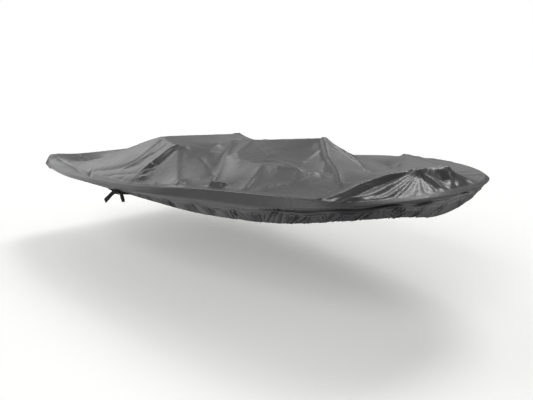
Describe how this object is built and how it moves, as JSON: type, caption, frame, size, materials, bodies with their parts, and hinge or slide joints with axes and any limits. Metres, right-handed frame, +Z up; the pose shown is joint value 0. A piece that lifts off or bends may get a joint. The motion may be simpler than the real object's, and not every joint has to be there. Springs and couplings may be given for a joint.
{
  "type": "boat cover",
  "caption": "Fitted cover for a small open boat: coated cloth tented over the seats, drawn in under the gunwale by a gathered hem, with a webbing tie.",
  "frame": {"origin": "the middle of the boat's opening, level with the lip of the gunwale amidships, under the top of the cover", "axes": "+X towards the bow, +Y to port, +Z up"},
  "size_m": [2.8028, 1.6064, 0.3694],
  "materials": {
    "cover_cloth": "coated woven polyester, half gloss",
    "webbing_tie": "woven polyester webbing, matt"
  },
  "bodies": {
    "root": {"cover_cloth": "cover_cloth", "webbing_tie": "webbing_tie"}
  },
  "joints": []
}
